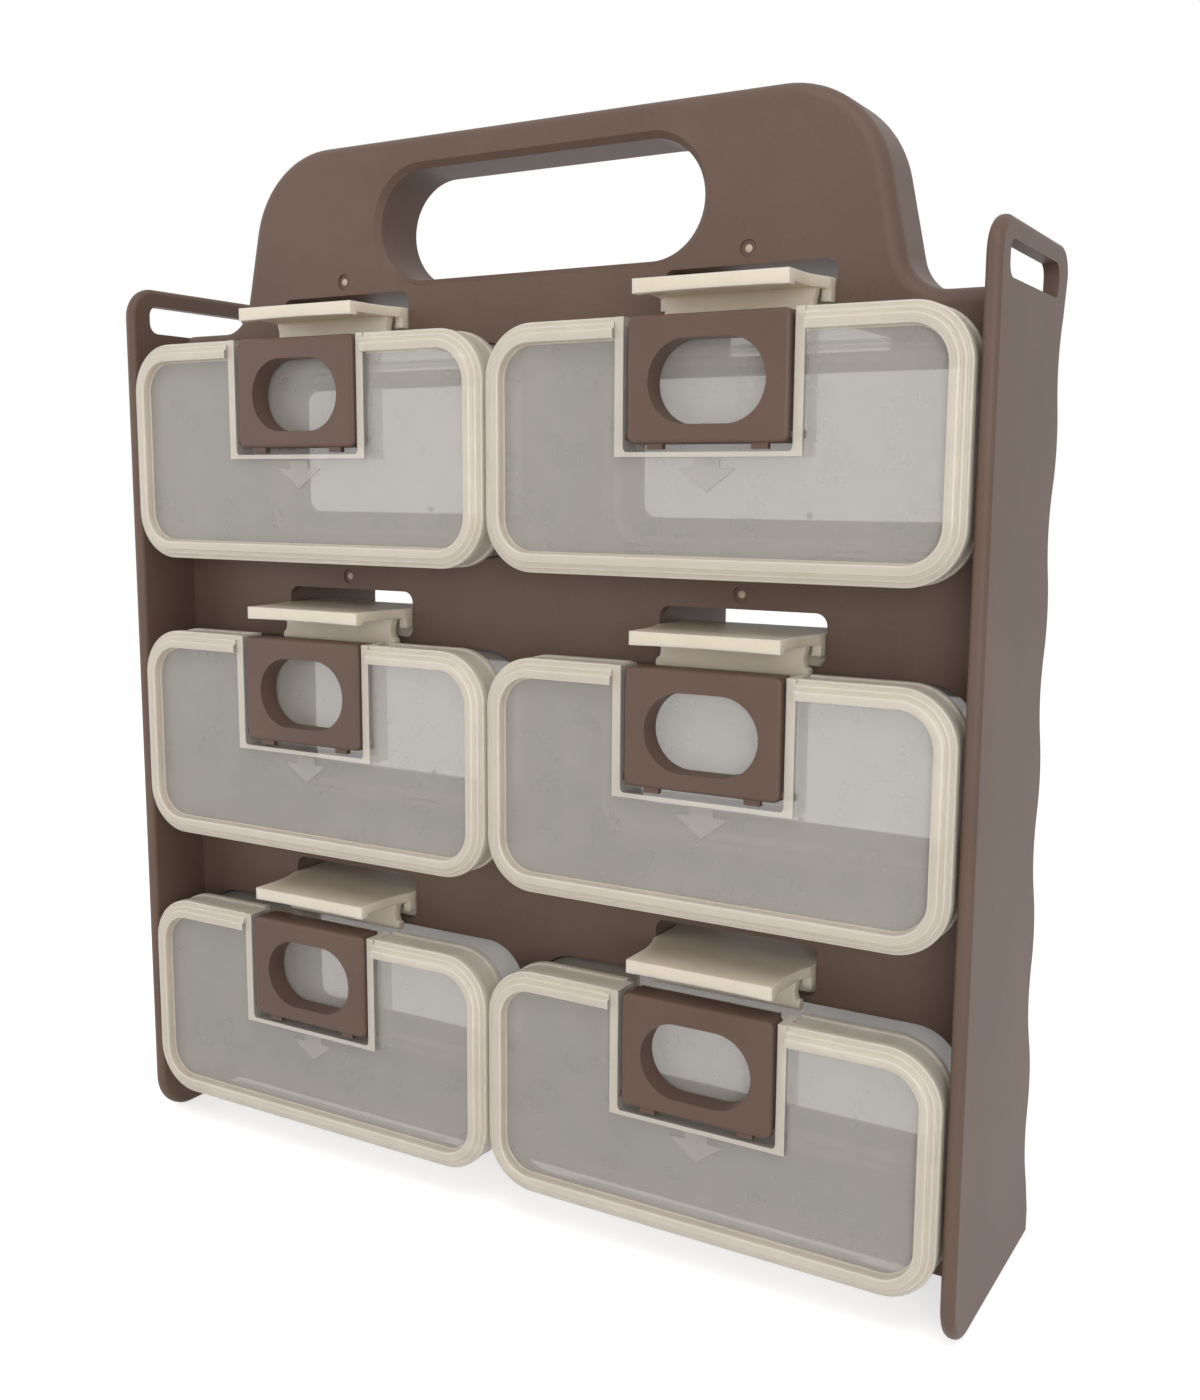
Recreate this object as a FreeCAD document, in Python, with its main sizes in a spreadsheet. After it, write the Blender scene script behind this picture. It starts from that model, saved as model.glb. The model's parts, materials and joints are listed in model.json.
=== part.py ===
import FreeCAD, Part
import math
import os
import Sketcher

# A parts case: a moulded carrying rack whose six sockets each hold a clear box.
# Every box has a body, a lid hinged along its lower edge, a latch and a spring clip.
# Axes: X across the front, Y from the front to the back, Z up, all in millimetres.
# The origin is the middle of the footprint, on the surface that the rack stands on.

SIZES = (
    ("lid_width", 124.9),
    ("lid_height", 61.7),
    ("lid_corner", 13.75),
    ("lid_depth", 10.0),
    ("lid_wall", 1.3),
    ("lid_sink", 1.0),
    ("rim_width", 5.0),
    ("rim_rise", 1.8),
    ("rim_low_rise", 0.9),
    ("rim_low_inset", 1.2),
    ("rim_high_inset", 2.6),
    ("bead_depth", 2.6),
    ("flange_depth", 1.8),
    ("skirt_groove", 0.5),
    ("lid_gap", 1.05),
    ("lid_wall_gap", 0.875),
    ("row_gap", 21.8),
    ("lowest_lid", 11.3),
    ("latch_width", 42.0),
    ("latch_height", 29.9),
    ("latch_proud", 0.7),
    ("latch_depth", 6.3),
    ("latch_face", 2.2),
    ("latch_wall", 1.6),
    ("latch_corner", 2.0),
    ("latch_edge", 1.2),
    ("latch_hook_drop", 0.3),
    ("latch_side_gap", 2.15),
    ("latch_back_gap", 0.8),
    ("finger_width", 30.5),
    ("finger_height", 19.8),
    ("finger_drop", 15.5),
    ("pin_radius", 1.0),
    ("pin_clearance", 0.06),
    ("pin_depth", 1.6),
    ("pin_rise", 1.9),
    ("pin_end_gap", 0.15),
    ("foot_width", 4.2),
    ("foot_spacing", 23.4),
    ("foot_length", 1.3),
    ("foot_thickness", 1.6),
    ("foot_setback", 0.2),
    ("foot_gap", 0.6),
    ("recess_wall", 1.2),
    ("recess_lip", 0.4),
    ("recess_corner", 1.5),
    ("recess_brow", 5.0),
    ("catch_overlap", 1.7),
    ("catch_gap", 0.3),
    ("body_inset", 2.25),
    ("body_wall", 1.4),
    ("body_front", 2.7),
    ("body_back", 59.0),
    ("body_bevel", 3.6),
    ("notch_clearance", 0.4),
    ("hinge_end_inset", 22.45),
    ("hinge_lip_rise", 0.7),
    ("hinge_lip_depth", 2.0),
    ("clip_flare", 2.4),
    ("clip_thickness", 2.6),
    ("clip_top", 8.6),
    ("clip_crown", 1.2),
    ("clip_lip", 3.2),
    ("clip_flare_start", 8.0),
    ("clip_side_gap", 0.6),
    ("tongue_overhang", 8.2),
    ("tongue_rib", 2.4),
    ("tongue_rib_bottom", 3.1),
    ("web_inset", 1.6),
    ("web_waist", 1.4),
    ("web_thickness", 2.8),
    ("web_setback", 4.5),
    ("web_seat_gap", 0.1),
    ("hook_thickness", 2.2),
    ("hook_catch", 1.3),
    ("panel_setback", 21.5),
    ("panel_thickness", 3.0),
    ("panel_ground_gap", 8.0),
    ("wall_thickness", 3.7),
    ("wall_rise", 17.5),
    ("wall_setback", 2.6),
    ("wall_front_radius", 9.0),
    ("wall_rear_radius", 7.0),
    ("toe_radius", 12.0),
    ("heel_height", 7.0),
    ("foot_flare", 11.5),
    ("shoulder_flare", 3.0),
    ("waist_inset", 5.1),
    ("waist_drop", 62.0),
    ("wave_count", 6),
    ("wave_size", 1.7),
    ("handle_rise", 54.6),
    ("handle_depth", 17.5),
    ("handle_lean", 77.8),
    ("handle_corner", 27.5),
    ("handle_edge", 4.0),
    ("shoulder_width", 14.05),
    ("shoulder_radius", 11.0),
    ("shoulder_rise", 5.0),
    ("grip_width", 100.8),
    ("grip_height", 29.5),
    ("grip_rise", 16.0),
    ("grip_edge", 1.6),
    ("strap_slot_length", 43.5),
    ("strap_slot_height", 8.0),
    ("strap_slot_corner", 3.0),
    ("strap_slot_setback", 6.7),
    ("strap_slot_rise", 4.5),
    ("socket_clearance", 0.5),
    ("socket_wall", 2.2),
    ("socket_back", 2.0),
    ("seat_gap", 0.3),
    ("channel_wall", 2.0),
    ("window_width", 46.0),
    ("window_height", 13.3),
    ("window_corner", 3.0),
    ("back_hole_border", 13.0),
    ("back_hole_drop", 10.0),
    ("back_hole_corner", 4.0),
    ("back_notch_drop", 4.9),
)

doc = FreeCAD.newDocument("PartsCase")
sheet = doc.addObject("Spreadsheet::Sheet", "Sizes")
for line, (alias, number) in enumerate(SIZES, 1):
    sheet.set("A%d" % line, alias)
    sheet.set("B%d" % line, str(number))
    sheet.setAlias("B%d" % line, alias)
doc.recompute()


class Size:
    """A number together with the sheet expression that it comes from."""

    def __init__(self, value, text=None):
        self.value = float(value)
        self.text = text or repr(self.value)

    def __add__(self, other):
        other = as_size(other)
        return Size(self.value + other.value, "(%s + %s)" % (self.text, other.text))

    def __sub__(self, other):
        other = as_size(other)
        return Size(self.value - other.value, "(%s - %s)" % (self.text, other.text))

    def __mul__(self, other):
        other = as_size(other)
        return Size(self.value * other.value, "(%s * %s)" % (self.text, other.text))

    def __truediv__(self, other):
        other = as_size(other)
        return Size(self.value / other.value, "(%s / %s)" % (self.text, other.text))

    def __radd__(self, other):
        return as_size(other) + self

    def __rsub__(self, other):
        return as_size(other) - self

    def __rmul__(self, other):
        return as_size(other) * self

    def __neg__(self):
        return Size(-self.value, "(-%s)" % self.text)


def as_size(thing):
    return thing if isinstance(thing, Size) else Size(thing)


class SheetSizes:
    """Reads a cell of the sheet by its alias."""

    def __getattr__(self, alias):
        return Size(sheet.get(alias), "Sizes." + alias)


size = SheetSizes()


def bind(thing, path, amount):
    thing.setExpression(path, as_size(amount).text)


def half(amount):
    return amount / 2


# Margins of the construction itself: how far a cut runs past a surface, how far an added feature reaches
# into what carries it, and the room for rounding error where edges are picked.
beyond = Size(1)
bite = Size(0.1)
pick_room = 0.05

# Sizes that follow from the ones above, so that what fits together changes together.
# A box has its own frame: X from its middle, Y from the outer edge of its lid, Z from its lid's top.
bevel_share = 2 - math.sqrt(2)
recess_width = size.latch_width + 2 * size.latch_side_gap
recess_height = size.latch_height + size.foot_length + size.foot_gap
recess_depth = size.latch_depth - size.latch_proud + size.latch_back_gap
recess_outer = recess_width + 2 * size.recess_wall
recess_back = recess_depth + size.lid_wall
pin_drop = size.latch_height - size.pin_rise
tongue_width = size.window_width - 2 * size.clip_side_gap
clip_width = tongue_width - 2 * size.clip_flare
web_width = tongue_width - 2 * size.web_inset
hinge_width = size.lid_width - 2 * size.hinge_end_inset
hook_front = size.panel_setback + size.panel_thickness + size.seat_gap
column_pitch = size.lid_width + size.lid_gap
row_pitch = size.lid_height + size.row_gap
wall_inner = column_pitch - half(size.lid_gap) + size.lid_wall_gap
wall_outer = wall_inner + size.wall_thickness

# The rack's own places, with Y = 0 in the middle of its depth.
socket_depth = size.body_back + size.seat_gap + size.socket_back
waist_depth = size.rim_rise + socket_depth - size.waist_inset
rack_depth = waist_depth + size.foot_flare + size.wave_size
front = -half(rack_depth)
lid_plane = front + size.rim_rise
panel_front = lid_plane + size.panel_setback
panel_back = panel_front + size.panel_thickness
socket_floor = lid_plane + size.body_back + size.seat_gap
socket_rear = lid_plane + socket_depth
column_places = (-half(column_pitch), half(column_pitch))
row_places = tuple(size.lowest_lid + size.lid_height + row_pitch * step for step in (2, 1, 0))
top_row = row_places[0]
box_places = [(column, row) for row in row_places for column in column_places]
rack_top = top_row + size.handle_rise
shoulder_level = top_row + size.shoulder_rise
wall_top = top_row + size.wall_rise
grip_floor = top_row + size.grip_rise


# Sketches and the features made from them.

def new_body(label):
    body = doc.addObject("PartDesign::Body", label)
    body.Label = label
    return body


def new_sketch(body, name, plane, offset):
    """A sketch on an origin plane moved by offset along +Y, +X or +Z for XZ, YZ or XY."""
    sketch = body.newObject("Sketcher::SketchObject", "%s_%s_sketch" % (body.Label, name))
    role = plane + "_Plane"
    sketch.AttachmentSupport = [(item, "") for item in body.Origin.OriginFeatures if item.Role == role]
    sketch.MapMode = "FlatFace"
    bind(sketch, "AttachmentOffset.Base.z", -offset if plane == "XZ" else offset)
    return sketch


class Pen:
    """Collects a sketch's curves and rules, and hands the rules over in one go."""

    def __init__(self, sketch):
        self.sketch = sketch
        self.rules = []
        self.amounts = {}

    def rule(self, kind, *where):
        self.rules.append(Sketcher.Constraint(kind, *where))

    def dimension(self, amount, kind, *where):
        """A dimension whose value follows the sheet."""
        amount = as_size(amount)
        self.amounts[len(self.rules)] = amount
        self.rule(kind, *where, amount.value)

    def segment(self, start, end):
        return self.curve(Part.LineSegment(FreeCAD.Vector(*start, 0), FreeCAD.Vector(*end, 0)))

    def corner(self, middle, radius, first, last):
        circle = Part.Circle(FreeCAD.Vector(*middle, 0), FreeCAD.Vector(0, 0, 1), radius)
        return self.curve(Part.ArcOfCircle(circle, math.radians(first), math.radians(last)))

    def curve(self, shape):
        return self.sketch.addGeometry(shape)

    def chain(self, pieces, kind):
        """Joins each piece's end to the next one's start."""
        for here, there in zip(pieces, pieces[1:] + pieces[:1]):
            self.rule(kind, here, 2, there, 1)

    def finish(self):
        self.sketch.addConstraint(self.rules)
        for index, amount in self.amounts.items():
            name = "size%d" % index
            self.sketch.renameConstraint(index, name)
            bind(self.sketch, "Constraints." + name, amount)


def extrude(body, name, plane, start, end, draw, remove=False):
    """Adds or removes the drawn outline between two places along the plane's axis."""
    sketch = new_sketch(body, name, plane, as_size(start))
    pen = Pen(sketch)
    draw(pen)
    pen.finish()
    kind = "PartDesign::Pocket" if remove else "PartDesign::Pad"
    feature = body.newObject(kind, "%s_%s" % (body.Label, name))
    feature.Profile = sketch
    bind(feature, "Length", as_size(end) - start)
    along_normal = plane != "XZ"
    feature.Reversed = along_normal if remove else not along_normal
    sketch.Visibility = False
    return feature


def add(body, name, start, end, draw, plane="XZ"):
    return extrude(body, name, plane, start, end, draw)


def cut(body, name, start, end, draw, plane="XZ"):
    return extrude(body, name, plane, start, end, draw, remove=True)


def rectangle(middle_x, middle_y, width, height, radius=0):
    """Draws a rectangle, with rounded corners where a radius is given."""
    left = as_size(middle_x - half(as_size(width)))
    low = as_size(middle_y - half(as_size(height)))

    def draw(pen):
        x0, y0 = left.value, low.value
        x1, y1 = x0 + as_size(width).value, y0 + as_size(height).value
        bend = as_size(radius).value
        bottom = pen.segment((x0 + bend, y0), (x1 - bend, y0))
        right = pen.segment((x1, y0 + bend), (x1, y1 - bend))
        top = pen.segment((x1 - bend, y1), (x0 + bend, y1))
        side = pen.segment((x0, y1 - bend), (x0, y0 + bend))
        if bend:
            corners = [
                pen.corner((x1 - bend, y0 + bend), bend, -90, 0),
                pen.corner((x1 - bend, y1 - bend), bend, 0, 90),
                pen.corner((x0 + bend, y1 - bend), bend, 90, 180),
                pen.corner((x0 + bend, y0 + bend), bend, 180, 270),
            ]
            pen.chain([bottom, corners[0], right, corners[1], top, corners[2], side, corners[3]], "Tangent")
            for other in corners[1:]:
                pen.rule("Equal", corners[0], other)
            pen.dimension(radius, "Radius", corners[0])
        else:
            pen.chain([bottom, right, top, side], "Coincident")
        for level in (bottom, top):
            pen.rule("Horizontal", level)
        for upright in (right, side):
            pen.rule("Vertical", upright)
        pen.dimension(width, "DistanceX", side, 1, right, 1)
        pen.dimension(height, "DistanceY", bottom, 1, top, 1)
        pen.dimension(left, "DistanceX", -1, 1, side, 1)
        pen.dimension(low, "DistanceY", -1, 1, bottom, 1)

    return draw


def stadium(middle_x, middle_y, width, height):
    """Draws a level slot with half-round ends."""

    def draw(pen):
        bend = as_size(height).value / 2
        reach = as_size(width).value / 2 - bend
        x, y = as_size(middle_x).value, as_size(middle_y).value
        bottom = pen.segment((x - reach, y - bend), (x + reach, y - bend))
        right = pen.corner((x + reach, y), bend, -90, 90)
        top = pen.segment((x + reach, y + bend), (x - reach, y + bend))
        left = pen.corner((x - reach, y), bend, 90, 270)
        pen.chain([bottom, right, top, left], "Tangent")
        pen.rule("Equal", right, left)
        pen.rule("Horizontal", bottom)
        pen.dimension(half(as_size(height)), "Radius", right)
        pen.dimension(as_size(width) - height, "DistanceX", left, 3, right, 3)
        pen.dimension(middle_x - half(as_size(width) - height), "DistanceX", -1, 1, left, 3)
        pen.dimension(middle_y, "DistanceY", -1, 1, left, 3)

    return draw


def disc(middle_x, middle_y, radius):
    """Draws a circle."""

    def draw(pen):
        middle = FreeCAD.Vector(as_size(middle_x).value, as_size(middle_y).value, 0)
        circle = pen.curve(Part.Circle(middle, FreeCAD.Vector(0, 0, 1), as_size(radius).value))
        pen.dimension(radius, "Radius", circle)
        pen.dimension(middle_x, "DistanceX", -1, 1, circle, 3)
        pen.dimension(middle_y, "DistanceY", -1, 1, circle, 3)

    return draw


def together(*drawings):
    """Draws several outlines in one sketch."""

    def draw(pen):
        for drawing in drawings:
            drawing(pen)

    return draw


def outline(pieces):
    """Draws a closed chain of ready-made curves, fixed where they are computed."""

    def draw(pen):
        for piece in pieces:
            pen.curve(piece)

    return draw


def line_piece(start, end):
    return Part.LineSegment(FreeCAD.Vector(*start, 0), FreeCAD.Vector(*end, 0))


def arc_piece(start, middle, end):
    """An arc through three points, kept in the order that the chain runs."""
    points = [FreeCAD.Vector(*point, 0) for point in (start, middle, end)]
    return Part.Arc(*points)


def dress_edges(body, name, base, kind, path, amount, wanted):
    """Rounds or bevels the base feature's edges that pass the test."""
    doc.recompute()
    names = ["Edge%d" % number for number, edge in enumerate(base.Shape.Edges, 1) if wanted(edge)]
    feature = body.newObject("PartDesign::" + kind, "%s_%s" % (body.Label, name))
    feature.Base = (base, names)
    bind(feature, path, amount)
    return feature


def round_edges(body, name, base, radius, wanted):
    return dress_edges(body, name, base, "Fillet", "Radius", radius, wanted)


def bevel_edges(body, name, base, amount, wanted):
    return dress_edges(body, name, base, "Chamfer", "Size", amount, wanted)


def lies_at_depth(edge, place):
    return all(abs(vertex.Y - place) < pick_room for vertex in edge.Vertexes)


# The rack: panel, handle, six sockets and two side walls in one moulding.

def handle_outline(floor, inset=0):
    """The handle with its shoulders, closed along the floor and drawn inset from its real edge."""
    reach = wall_inner.value
    lean = math.radians(size.handle_lean.value)
    top = rack_top.value
    shoulder = shoulder_level.value
    neck = size.shoulder_radius.value
    foot = size.shoulder_width.value - reach + neck * math.sin(lean)
    bend = size.handle_corner.value
    rise = top - bend * (1 - math.cos(lean)) - shoulder - neck * (1 - math.cos(lean))
    neck_middle = (foot - neck * math.sin(lean), shoulder + neck)
    bend_middle = (foot + rise / math.tan(lean) + bend * math.sin(lean), top - bend)

    def around(middle, radius, turn):
        return (middle[0] + radius * math.sin(turn), middle[1] - radius * math.cos(turn))

    neck_points = [around(neck_middle, neck + inset, lean * share) for share in (0, 0.5, 1)]
    bend_points = [around(bend_middle, bend - inset, lean * share + math.pi) for share in (1, 0.5, 0)]
    left = [
        line_piece((-reach, shoulder - inset), neck_points[0]),
        arc_piece(*neck_points),
        line_piece(neck_points[2], bend_points[0]),
        arc_piece(*bend_points),
    ]
    flipped = [[(-x, z) for x, z in points] for points in (neck_points, bend_points)]
    right = [
        arc_piece(*reversed(flipped[1])),
        line_piece(flipped[1][0], flipped[0][2]),
        arc_piece(*reversed(flipped[0])),
        line_piece(flipped[0][0], (reach, shoulder - inset)),
    ]
    closing = [
        line_piece((reach, shoulder - inset), (reach, floor.value)),
        line_piece((reach, floor.value), (-reach, floor.value)),
        line_piece((-reach, floor.value), (-reach, shoulder - inset)),
    ]
    return outline(left + [line_piece(bend_points[2], flipped[1][2])] + right + closing)


def wall_rear(height):
    """Depth of a side wall's rear edge: a waist, a flare towards the foot, and a gentle wave."""
    heel = size.heel_height.value
    top = (wall_top - size.wall_rear_radius).value
    waist = (top_row - size.waist_drop).value
    if height < waist:
        flare = size.foot_flare.value * ((waist - height) / (waist - heel)) ** 2
    else:
        flare = size.shoulder_flare.value * ((height - waist) / (top - waist)) ** 2
    turns = size.wave_count.value * (height - heel) / (top - heel)
    wave = size.wave_size.value * math.cos(2 * math.pi * turns)
    return (front + waist_depth).value + flare + wave


def wall_wave():
    """The waved rear edge from the heel upwards: an arc over every crest and every trough."""
    heel = size.heel_height.value
    count = int(size.wave_count.value * 2)
    step = (wall_top - size.wall_rear_radius - size.heel_height).value / count
    places = [heel] + [heel + step * (number + 0.5) for number in range(count)] + [heel + step * count]
    points = [(wall_rear(height), height) for height in places]
    arcs = [line_piece(points[0], points[1])]
    for number in range(1, count):
        crest = heel + step * number
        arcs.append(arc_piece(points[number], (wall_rear(crest), crest), points[number + 1]))
    arcs.append(line_piece(points[count], points[count + 1]))
    return arcs


def wall_outline():
    """Side wall: straight front edge, rounded toe, level foot, waved rear edge, rounded top corners."""
    face = (front + size.wall_setback).value
    top = wall_top.value
    toe = size.toe_radius.value
    near = size.wall_front_radius.value
    far = size.wall_rear_radius.value
    heel = size.heel_height.value
    diagonal = 1 - math.sqrt(0.5)
    rear = wall_rear(top - far)
    heel_depth = wall_rear(heel)
    return outline([
        line_piece((face + toe, 0), (heel_depth, 0)),
        line_piece((heel_depth, 0), (heel_depth, heel)),
        *wall_wave(),
        arc_piece((rear, top - far), (rear - far * diagonal, top - far * diagonal), (rear - far, top)),
        line_piece((rear - far, top), (face + near, top)),
        arc_piece((face + near, top), (face + near * diagonal, top - near * diagonal), (face, top - near)),
        line_piece((face, top - near), (face, toe)),
        arc_piece((face, toe), (face + toe * diagonal, toe * diagonal), (face + toe, 0)),
    ])


def for_each_box(shape_at):
    """Draws one outline for every box place."""
    return together(*[shape_at(column, row) for column, row in box_places])


def box_section(inset):
    """The rounded outline of a box at every place, inset from the lid's outline."""
    width = size.lid_width - 2 * inset
    height = size.lid_height - 2 * inset
    radius = size.lid_corner - inset
    return for_each_box(
        lambda column, row: rectangle(column, row - half(size.lid_height), width, height, radius))


def channel_section(grow, drop, radius=0):
    """The clip's channel above every box, grown sideways and upwards, down to drop below the lid's top."""
    width = size.window_width + 2 * grow
    height = size.window_height + grow + drop
    return for_each_box(
        lambda column, row: rectangle(column, row - drop + half(height), width, height, radius))


def build_rack():
    """The whole moulding, before it is divided into the nodes."""
    body = new_body("rack")
    block_floor = top_row - size.body_inset
    handle_back = panel_front + size.handle_depth
    grip_middle = grip_floor + half(size.grip_height)
    handle = add(body, "grip_block", panel_front, handle_back, handle_outline(block_floor))
    below_shoulder = shoulder_level.value - pick_room
    round_edges(
        body, "grip_block_edge", handle, size.handle_edge,
        lambda edge: lies_at_depth(edge, panel_front.value) and edge.BoundBox.ZMin > below_shoulder)
    grip = cut(body, "grip", panel_front, handle_back,
               stadium(0, grip_middle, size.grip_width, size.grip_height))
    grip_low = grip_floor.value - pick_room
    grip_high = (grip_floor + size.grip_height).value + pick_room
    reach = half(size.grip_width).value + pick_room
    bevel_edges(
        body, "grip_edges", grip, size.grip_edge,
        lambda edge: edge.BoundBox.ZMin > grip_low and edge.BoundBox.ZMax < grip_high
        and abs(edge.CenterOfMass.x) < reach and lies_at_depth(edge, panel_front.value))
    skin = size.panel_thickness
    cut(body, "handle_hollow", panel_back, handle_back, together(
        handle_outline(block_floor, skin.value),
        stadium(0, grip_middle, size.grip_width + 2 * skin, size.grip_height + 2 * skin)))
    panel_height = block_floor - size.panel_ground_gap + skin
    add(body, "panel", panel_front, panel_back,
        rectangle(0, size.panel_ground_gap + half(panel_height), 2 * wall_inner, panel_height))
    opening_inset = size.body_inset - size.socket_clearance
    add(body, "sockets", panel_front, socket_rear, box_section(opening_inset - size.socket_wall))
    add(body, "channels", panel_front, socket_rear, channel_section(size.channel_wall, size.recess_brow))
    cut(body, "socket_mouths", panel_front, socket_floor, box_section(opening_inset))
    cut(body, "windows", panel_front, panel_back, channel_section(0, Size(0), size.window_corner))
    cut(body, "channel_bores", panel_back, socket_rear, channel_section(0, size.back_notch_drop))
    hole_width = size.lid_width - 2 * size.back_hole_border
    hole_height = size.lid_height - size.back_hole_drop - size.back_hole_border
    hole_drop = size.back_hole_drop + half(hole_height)
    cut(body, "back_holes", socket_floor, socket_rear, for_each_box(
        lambda column, row: rectangle(
            column, row - hole_drop, hole_width, hole_height, size.back_hole_corner)))
    slot_middle = front + size.wall_setback + size.strap_slot_setback + half(size.strap_slot_length)
    slot_level = top_row + size.strap_slot_rise + half(size.strap_slot_height)
    slot = rectangle(
        slot_middle, slot_level, size.strap_slot_length, size.strap_slot_height, size.strap_slot_corner)
    for side, start, end in (("left", -wall_outer, -wall_inner), ("right", wall_inner, wall_outer)):
        add(body, side + "_wall", start, end, wall_outline(), "YZ")
        cut(body, side + "_strap_slot", start, end, slot, "YZ")
    return body


def slice_rack(rack, label, left, right, low, high):
    """One node of the rack: what lies between two uprights and two levels."""
    block = doc.addObject("Part::Box", label + "_block")
    bind(block, "Length", as_size(right) - left)
    bind(block, "Width", rack_depth)
    bind(block, "Height", as_size(high) - low)
    bind(block, "Placement.Base.x", left)
    bind(block, "Placement.Base.y", front)
    bind(block, "Placement.Base.z", low)
    node = doc.addObject("Part::Common", label)
    node.Label = label
    node.Base = rack
    node.Tool = block
    return node


def divide_rack(rack):
    """Handle, two walls, six sockets and the clip channels above them, which meet face to face."""
    handle_floor = top_row + size.window_height + size.channel_wall
    nodes = [
        slice_rack(rack, "rack_handle", -wall_inner, wall_inner, handle_floor, rack_top),
        slice_rack(rack, "rack_wall_left", -wall_outer, -wall_inner, Size(0), rack_top),
        slice_rack(rack, "rack_wall_right", wall_inner, wall_outer, Size(0), rack_top),
    ]
    above_channel = half(size.row_gap + size.window_height)
    levels = [handle_floor] + [row + above_channel for row in row_places[1:]] + [Size(0)]
    for number, (column, row) in enumerate(box_places, 1):
        left, right = (-wall_inner, Size(0)) if column.value < 0 else (Size(0), wall_inner)
        high, low = levels[(number - 1) // 2:][:2]
        socket_top = row - size.body_inset + size.socket_clearance + size.socket_wall
        nodes.append(slice_rack(rack, "rack_socket_%d" % number, left, right, low, socket_top))
        nodes.append(slice_rack(rack, "rack_channel_%d" % number, left, right, socket_top, high))
    return nodes


# The box pieces, each in the box's own frame.

def place(body, column, row):
    bind(body, "Placement.Base.x", column)
    bind(body, "Placement.Base.y", lid_plane)
    bind(body, "Placement.Base.z", row)


def lid_section(inset):
    inset = as_size(inset)
    return rectangle(
        Size(0), -half(size.lid_height), size.lid_width - 2 * inset, size.lid_height - 2 * inset,
        size.lid_corner - inset)


def span_from_top(width, low, high, radius=0):
    """A rectangle about the box's middle between two levels."""
    return rectangle(Size(0), half(as_size(low) + high), width, as_size(high) - low, radius)


def build_body(label):
    """Open-fronted shell with a notch for the latch's recess, a catch and a hinge lip."""
    body = new_body(label)
    inner = size.body_inset + size.body_wall
    floor = size.body_back - size.body_wall
    add(body, "shell", size.body_front, size.body_back, lid_section(size.body_inset))
    hollow = cut(body, "hollow", size.body_front, floor, lid_section(inner))
    floor_edge = bevel_edges(
        body, "floor_edge", hollow, size.body_bevel - size.body_wall * bevel_share,
        lambda edge: lies_at_depth(edge, floor.value))
    bevel_edges(
        body, "rear_edge", floor_edge, size.body_bevel,
        lambda edge: lies_at_depth(edge, size.body_back.value))
    notch_width = recess_outer + 2 * size.notch_clearance
    notch_back = recess_back + size.notch_clearance
    cut(body, "recess_notch", size.body_front, notch_back,
        span_from_top(notch_width, -size.recess_brow, beyond))
    catch_width = recess_width - 2 * size.notch_clearance
    catch_front = size.latch_depth - size.latch_proud + size.notch_clearance
    add(body, "catch", catch_front, notch_back + bite, span_from_top(catch_width, -inner, -size.body_inset))
    hinge_front = size.lid_depth + size.seat_gap
    hinge_top = size.body_inset + half(size.body_wall) - size.lid_height
    add(body, "hinge_lip", hinge_front, hinge_front + size.hinge_lip_depth,
        span_from_top(hinge_width, size.hinge_lip_rise - size.lid_height, hinge_top))
    return body


def build_lid(label):
    """Shallow tray with a stepped rim, a grooved skirt and the latch's recess in its top edge."""
    body = new_body(label)
    add(body, "skirt", Size(0), size.lid_depth, lid_section(0))
    add(body, "rim_low", -size.rim_low_rise, Size(0), lid_section(size.rim_low_inset))
    add(body, "rim_high", -size.rim_rise, -size.rim_low_rise, lid_section(size.rim_high_inset))
    cut(body, "face", -size.rim_rise, size.lid_sink, lid_section(size.rim_width))
    cut(body, "inside", size.lid_sink + size.lid_wall, size.lid_depth, lid_section(size.lid_wall))
    cut(body, "skirt_groove", size.bead_depth, size.lid_depth - size.flange_depth,
        together(lid_section(-beyond), lid_section(size.skirt_groove)))
    bead = half(size.lid_wall)
    bead_depth = size.lid_depth - bead
    cut(body, "hinge_gap", bead_depth, size.lid_depth,
        span_from_top(hinge_width, -size.lid_height - beyond, size.lid_wall - size.lid_height))
    add(body, "hinge_bead", -half(hinge_width), half(hinge_width),
        disc(bead_depth, bead - size.lid_height, bead), "YZ")
    outer_low = -recess_height - size.recess_wall
    cut(body, "recess_gap", -size.rim_rise, size.lid_depth, span_from_top(recess_outer, outer_low, beyond))
    add(body, "recess_walls", -size.recess_lip, recess_back,
        span_from_top(recess_outer, outer_low, Size(0)))
    cut(body, "recess", -size.recess_lip, recess_depth,
        span_from_top(recess_width, -recess_height, size.recess_corner + beyond, size.recess_corner))
    cut(body, "recess_brow", recess_depth, recess_back,
        span_from_top(recess_width, -size.recess_brow, beyond))
    hole = size.pin_radius + size.pin_clearance
    cut(body, "pin_holes", -half(recess_outer), half(recess_outer),
        disc(size.pin_depth, -pin_drop, hole), "YZ")
    return body


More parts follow.
